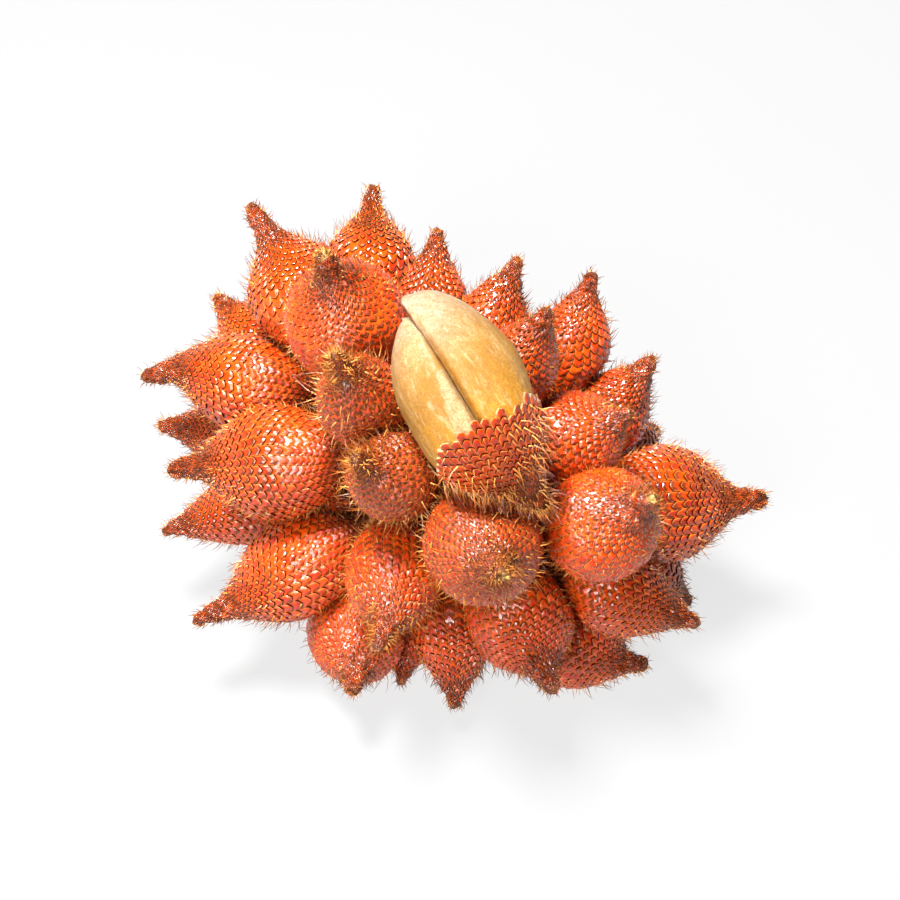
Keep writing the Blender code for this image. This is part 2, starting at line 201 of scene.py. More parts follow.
def ripple(points, size, seed):
    """Smooth noise from -1 to 1 at points in metres, with bumps of about the given size."""
    random = np.random.default_rng(seed)
    total = np.zeros(points.shape[:-1])
    for _ in range(RIPPLE_WAVES):
        direction = unit(random.normal(size=3)) * random.uniform(0.6, 1.6) * math.pi / size
        total += np.sin(points @ direction + random.uniform(0, math.tau))
    return total / RIPPLE_PEAK


def tint(red, green, blue):
    """A display colour, 0 to 255 each, as the linear colour that a shader takes."""
    shares = [c / 255 for c in (red, green, blue)]
    return tuple(c / 12.92 if c <= 0.04045 else ((c + 0.055) / 1.055) ** 2.4 for c in shares) + (1.0,)


def new_object(data):
    """Puts a mesh, a lamp or a camera into the scene."""
    added = bpy.data.objects.new(data.name, data)
    bpy.context.scene.collection.objects.link(added)
    return added


def finish_piece(mesh, node, materials):
    """Makes a mesh into a piece that stands for a CAD node."""
    piece = new_object(mesh)
    for material in materials:
        mesh.materials.append(material)
    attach(piece, "root")
    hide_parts(node)
    return piece


# ---- reading the frame

def welded(node):
    """Each corner of a CAD node once, and for each of them the corners that an edge joins to it."""
    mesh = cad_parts[node].data
    corners = np.array([v.co for v in mesh.vertices])
    places, index = np.unique(np.round(corners, 7), axis=0, return_inverse=True)
    index = index.reshape(-1)
    joined = [set() for _ in places]
    for face in mesh.polygons:
        around = [int(index[v]) for v in face.vertices]
        for a, b in zip(around, around[1:] + around[:1]):
            joined[a].add(b)
            joined[b].add(a)
    return places, joined


def levels_from(pole, joined):
    """The corners in rings round a pole, nearest first."""
    levels, seen = [[pole]], {pole}
    while levels[-1]:
        after = sorted({b for a in levels[-1] for b in joined[a]} - seen)
        seen.update(after)
        levels.append(after)
    return levels[:-1]


def in_turn(ring, axis, start, count):
    """A ring's corners in turn about an axis, from the one nearest to a direction. Where packing has
    merged two corners into one, the longest gap gets a new corner at its middle."""
    middle = ring.mean(axis=0)
    side = unit(start - axis * (start @ axis))
    turns = np.arctan2((ring - middle) @ np.cross(axis, side), (ring - middle) @ side)
    ring = ring[np.argsort((turns + math.pi / count) % math.tau)]
    while len(ring) < count:
        gaps = np.linalg.norm(np.roll(ring, -1, axis=0) - ring, axis=1)
        k = int(np.argmax(gaps))
        ring = np.insert(ring, k + 1, (ring[k] + ring[(k + 1) % len(ring)]) / 2, axis=0)
    return ring


def ring_grid(node, first_near):
    """A node's corners as an array of rings from one pole to the other, each pole repeated round its
    ring. The first pole is the one nearer to the given point."""
    places, joined = welded(node)
    poles = sorted(range(len(joined)), key=lambda k: len(joined[k]))[-2:]
    poles.sort(key=lambda k: np.linalg.norm(places[k] - first_near))
    levels = [places[level] for level in levels_from(poles[0], joined)]
    count = max(len(level) for level in levels)
    middles = np.array([level.mean(axis=0) for level in levels])
    start = levels[1][0] - middles[1]
    rings = []
    for k, level in enumerate(levels):
        if len(level) == 1:
            rings.append(np.repeat(level, count, axis=0))
            continue
        axis = unit(middles[min(k + 1, len(levels) - 1)] - middles[k - 1])
        ring = in_turn(level, axis, start, count)
        start = ring[0] - ring.mean(axis=0)
        rings.append(ring)
    return np.array(rings)


class Surface:
    """A smooth skin through a grid of corners, from its root end to its tip. A place on it is how far
    along it is, in rings, and how far round, in turns."""

    def __init__(self, grid, open_start=False):
        self.last = len(grid) - 1
        opposite = np.roll(grid, grid.shape[1] // 2, axis=1)
        before = 2 * grid[:1] - grid[1:2] if open_start else opposite[1:2]
        self.grid = np.concatenate([before, grid, opposite[-2:-1]])

    @staticmethod
    def weights(t):
        return 0.5 * np.stack([-t + 2 * t**2 - t**3, 2 - 5 * t**2 + 3 * t**3,
                               t + 4 * t**2 - 3 * t**3, t**3 - t**2])

    def point(self, along, turn):
        along, turn = np.broadcast_arrays(np.asarray(along, float), np.asarray(turn, float))
        row = np.clip(np.floor(along).astype(int), 0, self.last - 1)
        across = turn * self.grid.shape[1]
        column = np.floor(across).astype(int)
        row_weights = self.weights(along - row)
        column_weights = self.weights(across - column)
        total = np.zeros((*along.shape, 3))
        for i in range(4):
            for k in range(4):
                weight = row_weights[i] * column_weights[k]
                corner = self.grid[row + i, (column + k - 1) % self.grid.shape[1]]
                total += weight[..., None] * corner
        return total

    def frame(self, along, turn):
        """Points, outward directions and directions towards the tip."""
        step = 0.01
        ahead = self.point(along + step, turn) - self.point(along - step, turn)
        aside = self.point(along, turn + step) - self.point(along, turn - step)
        return self.point(along, turn), unit(np.cross(aside, ahead)), unit(ahead)


class Lattice:
    """Where the scales of a fruit are: a number of columns, and a row number that runs from the root
    to the tip and grows by 1 for each scale."""

    STATIONS = 500
    SIDES = 24

    def __init__(self, surface, seed):
        self.surface = surface
        self.seed = seed
        self.alongs = np.linspace(0, surface.last, self.STATIONS)
        rings = surface.point(self.alongs[:, None], np.arange(self.SIDES) / self.SIDES)
        radii = np.linalg.norm(rings - rings.mean(axis=1, keepdims=True), axis=2).mean(axis=1)
        self.widest = radii.max()
        self.girths = radii / self.widest
        self.columns = 2 * round(math.pi * self.widest / SCALE_WIDTH)
        self.pitches = SCALE_PITCH * (SMALLEST_PITCH + (1 - SMALLEST_PITCH) * self.girths)
        steps = np.linalg.norm(np.diff(rings, axis=0), axis=2).mean(axis=1)
        self.rows = np.concatenate([[0], np.cumsum(steps / self.pitches[1:])])
        self.last_row = self.rows[-1]
        self.widest_row = self.rows[int(np.argmax(radii))]

    def along(self, row):
        return np.interp(row, self.rows, self.alongs)

    def place(self, rows, columns):
        """Where scale places are on the surface: how far along it and how far round. The rows and the
        columns wander a little, as they do on a grown fruit."""
        turns = columns / self.columns
        points = self.surface.point(self.along(rows), turns)
        share = np.clip(np.minimum(rows, self.last_row - rows) / WANDER_EASING, 0, 1)
        rows = rows + share * ROW_WANDER * ripple(points, WANDER_SIZE, self.seed + 11)
        aside = share * COLUMN_WANDER / self.columns * ripple(points, WANDER_SIZE, self.seed + 12)
        return self.along(np.clip(rows, 0, self.last_row)), turns + aside

    def pitch(self, row):
        return np.interp(row, self.rows, self.pitches)

    def girth(self, row):
        return np.interp(row, self.rows, self.girths)

    def beak(self, row):
        """How much a row belongs to the beak, from 0 to 1."""
        return smoothstep(*BEAK_GIRTHS, self.girth(row)) * (np.asarray(row) > self.widest_row)

    def root(self, row):
        """How much a row belongs to the root end, from 0 to 1, which the skin paints darker as painted
        shade.
        """
        return smoothstep(*ROOT_GIRTHS, self.girth(row)) * (np.asarray(row) < self.widest_row)


# ---- scaly skin

def scale_heights(lattice, rows, columns):
    """The height of the skin over its lowest place, from 0 to about 1, for a grid of rows and of
    positions across, in columns. Every scale has its own size and tilt."""
    column = np.round(columns - 1e-9)
    offset = columns - column
    own, other = [np.interp((rows[:, None] - stagger) % 1.0, PROFILE_PLACES, PROFILE_HEIGHTS)
                  for stagger in (0.5 * (column % 2), 0.5 * ((column + 1) % 2))]
    random = np.random.default_rng(lattice.seed + 13)
    table = (int(lattice.last_row) + 3, lattice.columns)
    number = np.floor(rows[:, None] - 0.5 * (column % 2)).astype(int) + 1
    scale = number, np.broadcast_to(column.astype(int) % lattice.columns, number.shape)
    size = random.uniform(*SCALE_SIZES, table)[scale]
    tilt = random.uniform(-SCALE_TILT, SCALE_TILT, table)[scale]
    low = np.minimum(own, other) * SCALE_SIZES[0] - GROOVE_DROP
    aside = offset / SCALE_SIDE
    high = own * (size + tilt * aside) - SIDE_DROP * aside**2
    return np.where(np.abs(offset) > GROOVE_START, low, high)


def column_positions(lattice):
    """Where the corners of a row are, counted in columns from the middle of the first one."""
    return (np.arange(lattice.columns)[:, None] + COLUMN_SAMPLES).ravel()


def skin_grid(lattice, rows, tuft):
    """Points of the scaly skin, for rows of corners and all positions round it, and the same points
    without scales. Towards the tip of the beak the scales give way to rough lumps."""
    columns = column_positions(lattice)
    offset = np.abs(columns - np.round(columns - 1e-9))
    fade = np.clip(np.minimum(rows, lattice.last_row - rows) / EASING, 0, 1)[:, None]
    free_tip = (rows[:, None] - 0.5 * (np.round(columns) % 2)) % 1.0 < 0.01
    shift = POINTEDNESS * (offset / 0.5) ** 1.25 - OVERHANG * (free_tip & (offset < GROOVE_START))
    shifted = np.clip(rows[:, None] + fade * shift, 0, lattice.last_row)
    base, outward, _ = lattice.surface.frame(*lattice.place(shifted, columns))
    pitch = lattice.pitch(rows)[:, None]
    beak = lattice.beak(rows)[:, None]
    height = (scale_heights(lattice, rows, columns) - 0.5) * SCALE_HEIGHT * pitch * fade
    height *= 1 - SCALES_LOST_ON_BEAK * beak
    for size, depth, share in ((2.2 * MM, SKIN_ROUGHNESS, 1.0), (1.7 * MM, BEAK_ROUGHNESS, beak),
                               (3.6 * MM, BEAK_ROUGHNESS, beak), (1.4 * MM, TUFT_ROUGHNESS, tuft)):
        height = height + share * depth * ripple(base, size, lattice.seed + round(size / MM * 10))
    return base + outward * height[..., None], base, outward


def sampled_rows(first, last):
    """Every row of corners between two row numbers."""
    rows = (np.arange(math.floor(first), math.ceil(last) + 1)[:, None] + ROW_SAMPLES).ravel()
    return rows[(rows > first) & (rows < last)]


def grid_faces(row_count, column_count):
    """Four-cornered faces of a grid that closes round, and the column number of each corner, which
    runs on past the seam."""
    r, c = np.meshgrid(np.arange(row_count - 1), np.arange(column_count), indexing="ij")
    rows = np.stack([r, r, r + 1, r + 1], axis=-1)
    columns = np.stack([c, c + 1, c + 1, c], axis=-1)
    faces = rows * column_count + columns % column_count
    return faces.reshape(-1, 4), rows.reshape(-1, 4), columns.reshape(-1, 4)


def fan_faces(first, count, tip):
    """Three-cornered faces from each side of a ring of points to one more point."""
    ring = np.arange(count)
    return np.stack([first + ring, first + (ring + 1) % count, np.full(count, tip)], axis=1)


def pairs(across, up):
    """Places on a map from how far across and how far up they are."""
    return np.stack(np.broadcast_arrays(across, up), axis=-1)


class Shape:
    """The points and faces of one piece as they are gathered, with what its materials read."""

    def __init__(self, *value_names):
        self.points, self.faces, self.slots = [], [], []
        self.scale_places, self.bake_places = [], []
        self.values = {name: [] for name in value_names}

    def add_points(self, points, **values):
        """Adds points and returns the number of the first one. A value that isn't given is 0."""
        first = sum(len(added) for added in self.points)
        self.points.append(points.reshape(-1, 3))
        for name, known in self.values.items():
            known.append(np.broadcast_to(values.get(name, 0.0), points.shape[:-1]).ravel())
        return first

    def add_faces(self, faces, scale_places, bake_places, slot=0):
        self.faces.append(faces)
        self.scale_places.append(np.broadcast_to(scale_places, (*faces.shape, 2)).reshape(-1, 2))
        self.bake_places.append(bake_places.reshape(-1, 2))
        self.slots.append(np.full(len(faces), slot, np.int32))

    def add_skin(self, faces, lattice, columns, rows):
        """Adds faces of scaly skin, whose corners are at these columns and rows."""
        places = pairs(columns, rows)
        self.add_faces(faces, places, places / [lattice.columns, lattice.last_row / SKIN_TOP])

    def mesh(self, name):
        """All of it as one mesh, with nothing below the table."""
        mesh = bpy.data.meshes.new(name)
        points = np.concatenate(self.points)
        points[:, 2] = np.maximum(points[:, 2], 0.0)
        corners = np.concatenate([faces.ravel() for faces in self.faces])
        sizes = np.concatenate([np.full(len(faces), faces.shape[1]) for faces in self.faces])
        mesh.vertices.add(len(points))
        mesh.vertices.foreach_set("co", points.astype(np.float32).ravel())
        mesh.loops.add(len(corners))
        mesh.loops.foreach_set("vertex_index", corners.astype(np.int32))
        mesh.polygons.add(len(sizes))
        mesh.polygons.foreach_set("loop_start", (np.cumsum(sizes) - sizes).astype(np.int32))
        mesh.update(calc_edges=True)
        mesh.shade_smooth()
        for value, parts in self.values.items():
            attribute = mesh.attributes.new(value, "FLOAT", "POINT")
            attribute.data.foreach_set("value", np.concatenate(parts).astype(np.float32))
        for places, parts in (("Scales", self.scale_places), ("OFBake", self.bake_places)):
            layer = mesh.uv_layers.new(name=places)
            layer.uv.foreach_set("vector", np.concatenate(parts).astype(np.float32).ravel())
        mesh.polygons.foreach_set("material_index", np.concatenate(self.slots))
        mesh.set_sharp_from_angle(angle=math.radians(SHARP_ANGLE))
        return mesh


# ---- spines

def weighed(weights, places):
    """The least value and what each kind of place adds to it."""
    return sum((weights[name] * share for name, share in places.items()), weights["least"])


def spine_chance(lattice, rows, exposure, random, hair):
    """Which free tips still carry a spine, and how long it is. Spines are rubbed off most where the
    bunch's broad face has been handled, and are short on the beaks."""
    shoulder = smoothstep(0.97, 0.80, lattice.girth(rows)) * (rows > lattice.widest_row)
    places = {"sheltered": smoothstep(0.93, 0.50, exposure), "shoulder": shoulder,
              "beak": lattice.beak(rows), "hair": hair - 1}
    kept = random.random(len(rows)) < weighed(SPINE_CHANCE, places)
    kept &= rows < lattice.last_row - 0.6
    length = weighed(SPINE_LENGTH, places) * MM
    return kept, length * random.uniform(0.4, 1.4, len(rows))


def spine_points(lattice, random, first_rows, hair):
    """Points of the spines (spine, ring, side, 3) that grow from the free tips of the scales. No
    column has one before its first row."""
    numbers = np.arange(1, int(lattice.last_row))
    row, column = np.meshgrid(numbers, np.arange(lattice.columns), indexing="ij")
    row = (row + 0.5 * (column % 2)).ravel()
    column = column.ravel()
    root, outward, ahead = lattice.surface.frame(*lattice.place(row + 0.04, column))
    exposure = outward @ BROAD_FACE
    kept, length = spine_chance(lattice, row, exposure, random, hair)
    kept &= row >= first_rows[column]
    root, outward, ahead, length = root[kept], outward[kept], ahead[kept], length[kept][:, None]
    aside = np.cross(outward, ahead)
    each = (len(root), 1)
    lean = random.uniform(-0.35, 1.05, each)
    sway = random.normal(0, 0.42, each)
    start = unit(outward * np.cos(lean) + ahead * np.sin(lean) + aside * sway)
    bend = ahead * random.uniform(0.0, 0.7, each) + aside * random.normal(0, 0.42, each)
    thick = SPINE_RADIUS * random.uniform(0.7, 1.25, each)
    rings = []
    for station in SPINE_STATIONS:
        line = root + length * (start * station + bend * station**2)
        radius = thick * max(0.12, (1 - station) ** 0.7)
        for side in range(SPINE_SIDES):
            turn = math.tau * side / SPINE_SIDES
            rings.append(line + radius * (np.cross(start, aside) * math.cos(turn) + aside * math.sin(turn)))
    shape = (len(SPINE_STATIONS), SPINE_SIDES, len(root), 3)
    return np.array(rings).reshape(shape).transpose(2, 0, 1, 3)


def add_spines(shape, lattice, random, first_rows, fruit, hair):
    points = spine_points(lattice, random, first_rows, hair)
    first = shape.add_points(points, along_spine=SPINE_STATIONS[:, None], fruit=fruit)
    per_spine = len(SPINE_STATIONS) * SPINE_SIDES
    start = first + np.arange(len(points))[:, None, None] * per_spine
    sides = (start + grid_faces(len(SPINE_STATIONS), SPINE_SIDES)[0]).reshape(-1, 4)
    ends = start.reshape(-1, 1) + per_spine - SPINE_SIDES + np.arange(SPINE_SIDES)
    strip_low, strip_height = SPINE_STRIP
    for faces in (sides, ends):
        number = (faces[:, :1] - first) // per_spine
        station = (faces - first) % per_spine // SPINE_SIDES / (len(SPINE_STATIONS) - 1)
        band = (number % SPINE_BANDS + 0.2 + 0.6 * (np.arange(faces.shape[1]) % 2)) / SPINE_BANDS
        places = pairs(0.02 + 0.96 * station, strip_low + strip_height * band)
        shape.add_faces(faces, 0.0, places, slot=1)


# ---- fruits

def add_scales(shape, lattice, rows, first_rows, fruit, tuft, brown):
    """The scaly surface and the point of its beak. Returns the faces, the number of the surface's first
    point, and the surface without scales with its outward directions."""
    near_tip = tuft * smoothstep(lattice.last_row - TUFT_ROWS, lattice.last_row - 0.5, rows)[:, None]
    points, base, outward = skin_grid(lattice, rows, near_tip)
    count = points.shape[1]
    first = shape.add_points(points, beak=lattice.beak(rows)[:, None], tuft=near_tip,
                             root=lattice.root(rows)[:, None], fruit=fruit, brown=brown)
    tip = shape.add_points(lattice.surface.point(float(lattice.surface.last), 0.0),
                           beak=1.0, tuft=tuft, fruit=fruit, brown=brown)
    faces, face_rows, face_columns = grid_faces(len(rows), count)
    middle_rows = rows[face_rows].mean(axis=1)
    kept = middle_rows > first_rows[face_columns[:, 0] // len(COLUMN_SAMPLES)]
    faces, face_rows, face_columns = faces[kept] + first, face_rows[kept], face_columns[kept]
    positions = np.append(column_positions(lattice), lattice.columns - 0.5) + 0.5
    shape.add_skin(faces, lattice, positions[face_columns], rows[face_rows])

    fan = fan_faces(first + (len(rows) - 1) * count, count, tip)
    across = np.stack([positions[:-1], positions[1:], (positions[:-1] + positions[1:]) / 2], axis=1)
    shape.add_skin(fan, lattice, across, [rows[-1], rows[-1], lattice.last_row])
    return faces, first, base, outward


def whole_fruit(node, middle, seed):
    """A closed fruit, scaly from its root to its beak."""
    random = np.random.default_rng(seed)
    lattice = Lattice(Surface(ring_grid(node, middle)), seed)
    rows = sampled_rows(FIRST_SCALES, lattice.last_row - LAST_SCALES)
    fruit = random.random()
    shape = Shape(*SKIN_VALUES)
    no_tear = np.zeros(lattice.columns)
    yellow = YELLOW_TIPS.get(node, USUAL_YELLOW)
    brown = BROWNED.get(node, 0.0)
    _, first, _, _ = add_scales(shape, lattice, rows, no_tear, fruit, yellow, brown)
    root = shape.add_points(lattice.surface.point(0.0, 0.0), root=1.0, fruit=fruit, brown=brown)
    count = len(column_positions(lattice))
    fan = fan_faces(first, count, root)[:, [2, 1, 0]]
    across = (np.arange(count)[:, None] + [0, 1, 0]) / len(COLUMN_SAMPLES)
    shape.add_skin(fan, lattice, across, [0.0, rows[0], rows[0]])
    add_spines(shape, lattice, random, no_tear, fruit, HAIRY.get(node, 1.0))
    finish_piece(shape.mesh(f"{node}_skin"), node, [SKIN, SPINE])


def node_middle(node):
    low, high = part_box(node)
    return np.array(low + high) / 2


def cup_outside():
    """The outside of the cup as rings square to its length, from above its torn edge to its tip, and
    how far along those rings the edge is, for each corner of the CAD ring."""
    grid = ring_grid("open_skin", node_middle("flesh_rear"))[CUP_EDGE_RING:]
    count = grid.shape[1]
    level = (np.roll(grid, 1, axis=1) + 2 * grid + np.roll(grid, -1, axis=1)) / 4
    middles = level.mean(axis=1, keepdims=True)
    level = middles + (level - middles) * 2 / (1 + math.cos(math.tau / count))
    steps = np.linspace(0, len(level) - 1, CUP_STEPS)
    lines = Surface(level, open_start=True).point(steps[:, None], np.arange(count) / count)
    tip = level[-1, 0]
    length = unit(tip - middles[0, 0])
    ahead = lines[0] - lines[1]
    beyond = lines[0] + ahead / np.linalg.norm(ahead, axis=1)[:, None] * CUP_SPARE
    lines = np.concatenate([[beyond], lines])
    heights = (tip - lines) @ length
    top = heights[1].max() + CUP_TOP_ROOM
    stations = np.linspace(top, 0, CUP_RINGS)
    rings = np.array([[[np.interp(station, heights[::-1, k], lines[::-1, k, axis]) for axis in range(3)]
                       for k in range(count)] for station in stations])
    return rings, (top - heights[1]) / (stations[0] - stations[1])


def torn_rows(lattice, edges, random):
    """The row at which each column of scales is torn off, always between two of its scales."""
    turns = np.arange(lattice.columns) / lattice.columns
    around = np.interp(turns, np.arange(len(edges) + 1) / len(edges), np.append(edges, edges[0]))
    rows = np.interp(around, lattice.alongs, lattice.rows)
    _, outward, _ = lattice.surface.frame(lattice.along(rows), turns)
    ragged = rows - FRONT_RAISE * smoothstep(0.2, 0.9, outward @ BROAD_FACE)
    ragged += 0.5 * ripple(np.stack([turns, turns, turns], axis=1) * 6, 1.0, 5)
    ragged += random.uniform(-0.35, 0.35, lattice.columns)
    stagger = 0.5 * (np.arange(lattice.columns) % 2)
    return np.round(ragged - stagger) + stagger


def open_ends(faces):
    """The directed edges of these faces that no other face shares."""
    starts, ends = faces.ravel(), np.roll(faces, -1, axis=1).ravel()
    size = int(faces.max()) + 1
    alone = ~np.isin(starts * size + ends, ends * size + starts)
    return starts[alone], ends[alone]


def strip_places(faces, first, inner_first, count):
    """Places for the membrane on the map that is baked: a strip between the skin's and the spines'."""
    inner = faces >= inner_first
    row, column = np.divmod(faces - np.where(inner, inner_first, first), count)
    other_row, inner_face = MEMBRANE_STEPS
    height = MEMBRANE_STRIP + other_row * (row % 2) + inner_face * inner
    return pairs((column + 0.5) / count, height)


def torn_cup(seed):
    """The peel that is left on the half-peeled fruit, with its pale inside and its ragged membrane."""
    random = np.random.default_rng(seed)
    grid, edges = cup_outside()
    lattice = Lattice(Surface(grid, open_start=True), seed)
    first_rows = torn_rows(lattice, edges, random)
    rows = sampled_rows(first_rows.min() - 0.6, lattice.last_row - LAST_SCALES)
    shape = Shape(*SKIN_VALUES)
    faces, first, base, outward = add_scales(shape, lattice, rows, first_rows, CUP_FRUIT, CUP_YELLOW,
                                             BROWNED["open_skin"])
    inset = np.minimum(PEEL_THICKNESS, 0.3 * lattice.widest * lattice.girth(rows))
    inside = base - outward * inset[:, None, None]
    rise = TORN_RISE * np.clip(0.5 + ripple(base[0], 4 * MM, 9), 0, 1)
    lift = unit(base[0] - base[1]) * rise[:, None]
    near_edge = smoothstep(3.0, 0.0, rows[:, None] - np.repeat(first_rows, len(COLUMN_SAMPLES)))
    inside = inside + lift * near_edge[..., None]
    inner_first = shape.add_points(inside, fruit=CUP_FRUIT)
    towards_tip = unit(grid[-1, 0] - grid[-2].mean(axis=0))
    inner_tip = shape.add_points(grid[-1, 0] - towards_tip * MM, fruit=CUP_FRUIT)
    step = inner_first - first
    lower = faces[:, ::-1] + step
    count = inside.shape[1]
    before_tip = (len(rows) - 1) * count
    fan = fan_faces(inner_first + before_tip, count, inner_tip)[:, [1, 0, 2]]
    starts, ends = open_ends(faces)
    at_rim = np.maximum(starts, ends) < first + before_tip
    starts, ends = starts[at_rim], ends[at_rim]
    rim = np.stack([ends, starts, starts + step, ends + step], axis=1)
    for part in (lower, fan, rim):
        shape.add_faces(part, 0.0, strip_places(part, first, inner_first, count), slot=2)
    add_spines(shape, lattice, random, first_rows + 0.4, CUP_FRUIT, HAIRY["open_skin"])
    finish_piece(shape.mesh("open_skin_peel"), "open_skin", [SKIN, SPINE, MEMBRANE])


def flesh_line():
    """The ends of the line that the flesh lies round: its top, and its bottom in the cup."""
    cup = ring_grid("open_skin", node_middle("flesh_rear"))
    bottom, edge_middle = cup[0, 0], cup[CUP_EDGE_RING].mean(axis=0)
    length = unit(edge_middle - bottom)
    reach = max(((welded(node)[0] - bottom) @ length).max() for node in LOBES)
    return bottom + reach * length, bottom


def pale_wedge(node, points, top, length, depth):
    """How much each of a lobe's points belongs to the pale wedge beside the seam in front."""
    if node != WEDGE_LOBE:
        return np.zeros(depth.shape)
    across = node_middle("flesh_right") - node_middle("flesh_left")
    across = unit(across - length * (across @ length))
    from_seam = (top - points) @ across
    width = WEDGE_SPREAD * np.maximum(depth - WEDGE_TOP, 0)
    return smoothstep(1.0, 0.75, from_seam / np.maximum(width, 0.1 * MM)) * (width > 0.1 * MM)


def flesh_lobe(node, top, bottom, material, seed):
    """One smooth lobe of flesh. Its depth runs from 0 at the top of the fruit to 1 at its bottom, and
    its seam is strong where it faces the other lobes."""
    surface = Surface(ring_grid(node, top))
    row_count, column_count = LOBE_GRID
    along = np.linspace(0, surface.last, row_count)[1:-1, None]
    turn = np.arange(column_count) / column_count
    points, outward, _ = surface.frame(along, turn)
    length = unit(bottom - top)
    reach = np.linalg.norm(bottom - top)
    depth = np.clip((points - top) @ length / reach, 0, 1)
    nearest = top + ((points - top) @ length)[..., None] * length
    seam = smoothstep(-0.25, 0.35, (outward * unit(nearest - points)).sum(axis=-1))
    swell = LOBE_SWELL + SEAM_SWELL * seam
    for number, (height, size) in enumerate(LOBE_WAVES):
        swell = swell + height * ripple(points, size, seed + number)
    outer_side = np.maximum(outward @ unit(BULGE_TOWARDS), 0)
    bulge = BULGE.get(node, 0.0) * outer_side * smoothstep(0.75, 0.40, depth)
    rise = TOP_RISE.get(node, 0.0) * smoothstep(0.30, 0.05, depth)
    points = points + outward * swell[..., None] + unit(BULGE_TOWARDS) * bulge[..., None]
    points = points - length * rise[..., None]
    shape = Shape("seam", "depth", "wedge")
    first = shape.add_points(points, seam=seam, depth=depth,
                             wedge=pale_wedge(node, points, top, length, depth))
    ends = [shape.add_points(surface.point(float(end), 0.0), depth=value)
            for end, value in ((0, depth.min()), (surface.last, depth.max()))]
    faces, face_rows, face_columns = grid_faces(row_count - 2, column_count)
    edge = 1 / (row_count - 1)
    shape.add_faces(faces + first, 0.0, pairs(face_columns / column_count, (face_rows + 1) * edge))
    last = first + (row_count - 3) * column_count
    for start, end, turned, up in ((first, ends[0], [1, 0, 2], [edge, edge, 0]),
                                   (last, ends[1], [0, 1, 2], [1 - edge, 1 - edge, 1])):
        fan = fan_faces(start, column_count, end)[:, turned]
        across = (np.arange(column_count)[:, None] + [0, 1, 0.5])[:, turned] / column_count
        shape.add_faces(fan, 0.0, pairs(across, up))
    finish_piece(shape.mesh(f"{node}_lobe"), node, [material])


def inside_fruits(points):
    """Which of these points are inside a fruit."""
    inside = np.zeros(len(points), bool)
    for node in fruits:
        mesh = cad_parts[node].data
        tree = BVHTree.FromPolygons([v.co for v in mesh.vertices], [f.vertices for f in mesh.polygons])
        low, high = (np.array(corner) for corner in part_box(node))
        near = ((points > low) & (points < high)).all(axis=1) & ~inside
        for k in np.flatnonzero(near):
            place, outward, _, _ = tree.find_nearest(points[k])
            inside[k] = (Vector(points[k]) - place).dot(outward) < 0
    return inside


def shade_fibre_mat():
    """A mat of dry fibres that closes the gaps between the lower fruits, as a dark sheet of painted shade.
    """
    side = np.arange(-MAT_RADIUS, MAT_RADIUS, MAT_STEP)
    x, y = np.meshgrid(bunch_middle.x + side, bunch_middle.y + side, indexing="ij")
    points = np.stack([x, y, np.full(x.shape, MAT_HEIGHT)], axis=-1)
    height, size = MAT_WAVES
    points[..., 2] += height * ripple(points, size, 31)
    from_middle = np.hypot(x - bunch_middle.x, y - bunch_middle.y)
    open_air = ~inside_fruits(points.reshape(-1, 3)).reshape(x.shape) & (from_middle < MAT_RADIUS)
    touched = open_air[:-1, :-1] | open_air[1:, :-1] | open_air[:-1, 1:] | open_air[1:, 1:]
    work = bmesh.new()
    corners, faces = {}, []
    for i, k in np.argwhere(touched):
        around = [(i, k), (i + 1, k), (i + 1, k + 1), (i, k + 1)]
        for corner in around:
            if corner not in corners:
                corners[corner] = work.verts.new(points[corner])
        faces.append(work.faces.new([corners[corner] for corner in around]))
    bmesh.ops.solidify(work, geom=faces, thickness=MAT_THICKNESS)
    bmesh.ops.recalc_face_normals(work, faces=work.faces)
    mesh = bpy.data.meshes.new("stalk_fibres_shade")
    work.to_mesh(mesh)
    work.free()
    mesh.shade_smooth()
    mat = finish_piece(mesh, "stalk", [WOOD_AND_SHADE])
    roughen(mat, (("matted", 3 * MM, 2.4 * MM),))


def roughen(piece, reliefs):
    """Moves a piece's surface in and out by cloudy reliefs, each with a name, a size and a strength."""
    for name, size, strength in reliefs:
        texture = bpy.data.textures.new(name, "CLOUDS")
        texture.noise_scale = size
        texture.noise_depth = 2
        displace = piece.modifiers.new(name, "DISPLACE")
        displace.texture = texture
        displace.texture_coords = "OBJECT"
        displace.strength = strength
        displace.mid_level = 0.6


def woody_stalk():
    """The stalk grown over its CAD node: rounded where its branches meet, and rough all over."""
    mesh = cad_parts["stalk"].data.copy()
    mesh.name = "stalk_wood"
    mesh.materials.clear()
    stalk = finish_piece(mesh, "stalk", [WOOD_AND_SHADE])
    remesh = stalk.modifiers.new("rounded", "REMESH")
    remesh.mode = "VOXEL"
    remesh.voxel_size = 0.8 * MM
    remesh.use_smooth_shade = True
    stalk.modifiers.new("smoothed", "SMOOTH").iterations = 6
    roughen(stalk, (("knots", 6 * MM, 1.2 * MM), ("bark", 1.6 * MM, 0.7 * MM)))


# ---- materials

